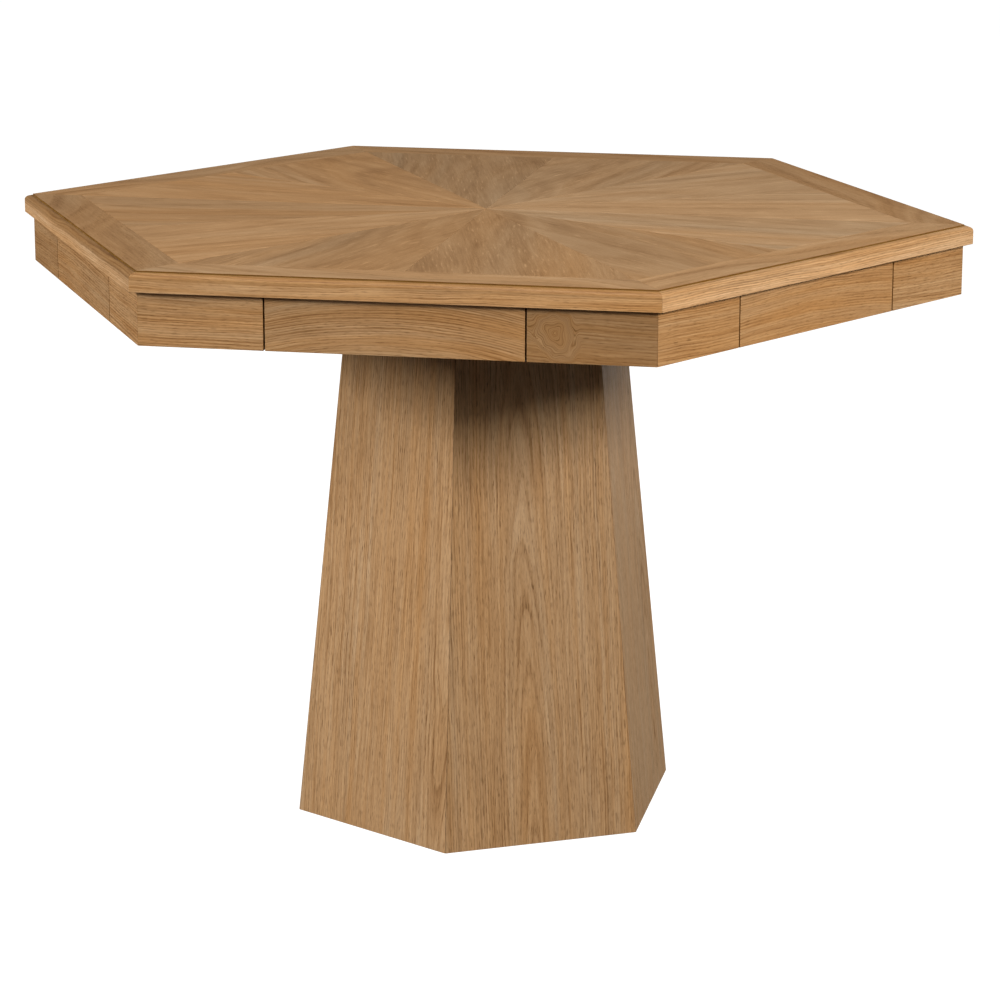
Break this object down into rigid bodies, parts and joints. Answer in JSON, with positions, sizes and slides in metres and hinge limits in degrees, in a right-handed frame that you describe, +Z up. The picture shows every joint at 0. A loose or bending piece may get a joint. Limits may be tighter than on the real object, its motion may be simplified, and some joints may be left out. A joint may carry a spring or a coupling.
{
  "type": "gaming table",
  "caption": "Hexagonal gaming table with a radial veneered top, moulded edge, a drawer hidden in the apron on every side, and a tapered hexagonal pedestal.",
  "frame": {"origin": "on the floor, under the middle of the table", "axes": "+Z up; +X from the middle to one corner of the top; -Y square to one side of the top"},
  "size_m": [1.2078, 1.0462, 0.762],
  "materials": {
    "top_veneer": "satin natural oak veneer in a radial pattern inside a mitred border",
    "edge_moulding": "satin solid oak, grain along the edge",
    "apron_veneer": "satin oak veneer, grain level",
    "drawer_front": "satin oak veneer, grain level",
    "drawer_box": "clear-coated pale solid wood",
    "drawer_bottom": "clear-coated thin plywood",
    "guide_wood": "unfinished pale hardwood",
    "pedestal_veneer": "satin oak veneer, grain upright",
    "plywood": "unfinished plywood"
  },
  "bodies": {
    "table": {"top_panel": "top_veneer", "edge_moulding_1": "edge_moulding", "edge_moulding_2": "edge_moulding", "edge_moulding_3": "edge_moulding", "edge_moulding_4": "edge_moulding", "edge_moulding_5": "edge_moulding", "edge_moulding_6": "edge_moulding", "apron_corner_1": "apron_veneer", "apron_corner_2": "apron_veneer", "apron_corner_3": "apron_veneer", "apron_corner_4": "apron_veneer", "apron_corner_5": "apron_veneer", "apron_corner_6": "apron_veneer", "drawer_guide_1": "guide_wood", "drawer_guide_2": "guide_wood", "drawer_guide_3": "guide_wood", "drawer_guide_4": "guide_wood", "drawer_guide_5": "guide_wood", "drawer_guide_6": "guide_wood", "pedestal_panel_1": "pedestal_veneer", "pedestal_panel_2": "pedestal_veneer", "pedestal_panel_3": "pedestal_veneer", "pedestal_panel_4": "pedestal_veneer", "pedestal_panel_5": "pedestal_veneer", "pedestal_panel_6": "pedestal_veneer", "pedestal_base_plate": "plywood", "pedestal_top_plate": "plywood", "mounting_plate": "plywood"},
    "drawer_1": {"drawer_1_front": "drawer_front", "drawer_1_left_side": "drawer_box", "drawer_1_right_side": "drawer_box", "drawer_1_back": "drawer_box", "drawer_1_bottom": "drawer_bottom"},
    "drawer_2": {"drawer_2_front": "drawer_front", "drawer_2_left_side": "drawer_box", "drawer_2_right_side": "drawer_box", "drawer_2_back": "drawer_box", "drawer_2_bottom": "drawer_bottom"},
    "drawer_3": {"drawer_3_front": "drawer_front", "drawer_3_left_side": "drawer_box", "drawer_3_right_side": "drawer_box", "drawer_3_back": "drawer_box", "drawer_3_bottom": "drawer_bottom"},
    "drawer_4": {"drawer_4_front": "drawer_front", "drawer_4_left_side": "drawer_box", "drawer_4_right_side": "drawer_box", "drawer_4_back": "drawer_box", "drawer_4_bottom": "drawer_bottom"},
    "drawer_5": {"drawer_5_front": "drawer_front", "drawer_5_left_side": "drawer_box", "drawer_5_right_side": "drawer_box", "drawer_5_back": "drawer_box", "drawer_5_bottom": "drawer_bottom"},
    "drawer_6": {"drawer_6_front": "drawer_front", "drawer_6_left_side": "drawer_box", "drawer_6_right_side": "drawer_box", "drawer_6_back": "drawer_box", "drawer_6_bottom": "drawer_bottom"}
  },
  "joints": [
    {"name": "drawer_1_slide", "type": "slide", "parent": "table", "child": "drawer_1", "axis": [0, -1, 0], "range_m": [0, 0.18]},
    {"name": "drawer_2_slide", "type": "slide", "parent": "table", "child": "drawer_2", "axis": [0.866, -0.5, 0], "range_m": [0, 0.18]},
    {"name": "drawer_3_slide", "type": "slide", "parent": "table", "child": "drawer_3", "axis": [0.866, 0.5, 0], "range_m": [0, 0.18]},
    {"name": "drawer_4_slide", "type": "slide", "parent": "table", "child": "drawer_4", "axis": [0, 1, 0], "range_m": [0, 0.18]},
    {"name": "drawer_5_slide", "type": "slide", "parent": "table", "child": "drawer_5", "axis": [-0.866, 0.5, 0], "range_m": [0, 0.18]},
    {"name": "drawer_6_slide", "type": "slide", "parent": "table", "child": "drawer_6", "axis": [-0.866, -0.5, 0], "range_m": [0, 0.18]}
  ]
}
